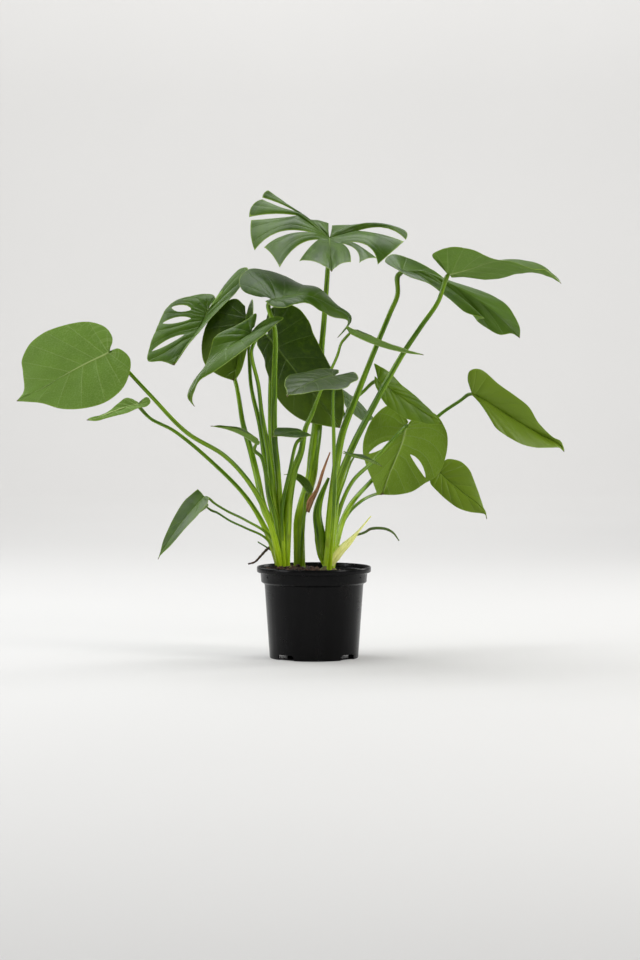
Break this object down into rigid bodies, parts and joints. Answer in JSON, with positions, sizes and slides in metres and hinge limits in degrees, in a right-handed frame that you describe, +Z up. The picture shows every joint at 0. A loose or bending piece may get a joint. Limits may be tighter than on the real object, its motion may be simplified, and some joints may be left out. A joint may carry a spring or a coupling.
{
  "type": "potted monstera",
  "caption": "Split-leaf climbing houseplant with long arching stalks and glossy heart-shaped and split leaves, growing in a round black nursery pot.",
  "frame": {"origin": "middle of the pot's underside, on the plane that it stands on", "axes": "+Z up, +X to the right and +Y to the back of the plant as seen from its front"},
  "size_m": [0.8175, 0.4561, 0.6983],
  "materials": {
    "pot": "satin, with fine moulding marks and dust",
    "soil": "loose dark red-brown bark and peat",
    "stalk": "smooth green leaf stalk",
    "leaf": "satin green blade with paler veins",
    "leaf_dark": "satin dark green blade with paler veins",
    "leaf_light": "matt yellow-green underside of a blade",
    "root": "dry brown aerial root",
    "sheath": "yellowing soft sheath",
    "dry": "dry brown sheath"
  },
  "bodies": {
    "root": {"pot": "pot", "soil": "soil", "stems_left": "stalk", "stems_middle": "stalk", "stems_right": "stalk", "leaf_01": "leaf", "leaf_02": "leaf", "leaf_03": "leaf", "leaf_04": "leaf", "leaf_05": "leaf_dark", "leaf_06": "leaf", "leaf_07": "leaf_dark", "leaf_08": "leaf_dark", "leaf_09": "leaf", "leaf_10": "leaf", "leaf_11": "leaf", "leaf_12": "leaf_light", "leaf_13": "leaf_light", "leaf_14": "leaf", "leaf_15": "leaf", "leaf_16": "leaf", "leaf_17": "leaf", "leaf_18": "leaf", "leaf_19": "leaf", "leaf_20": "leaf", "leaf_21": "leaf", "leaf_22": "leaf", "leaf_23": "leaf", "aerial_root": "root", "yellow_sheath": "sheath", "dry_strip": "dry", "brown_sheath": "dry"}
  },
  "joints": []
}
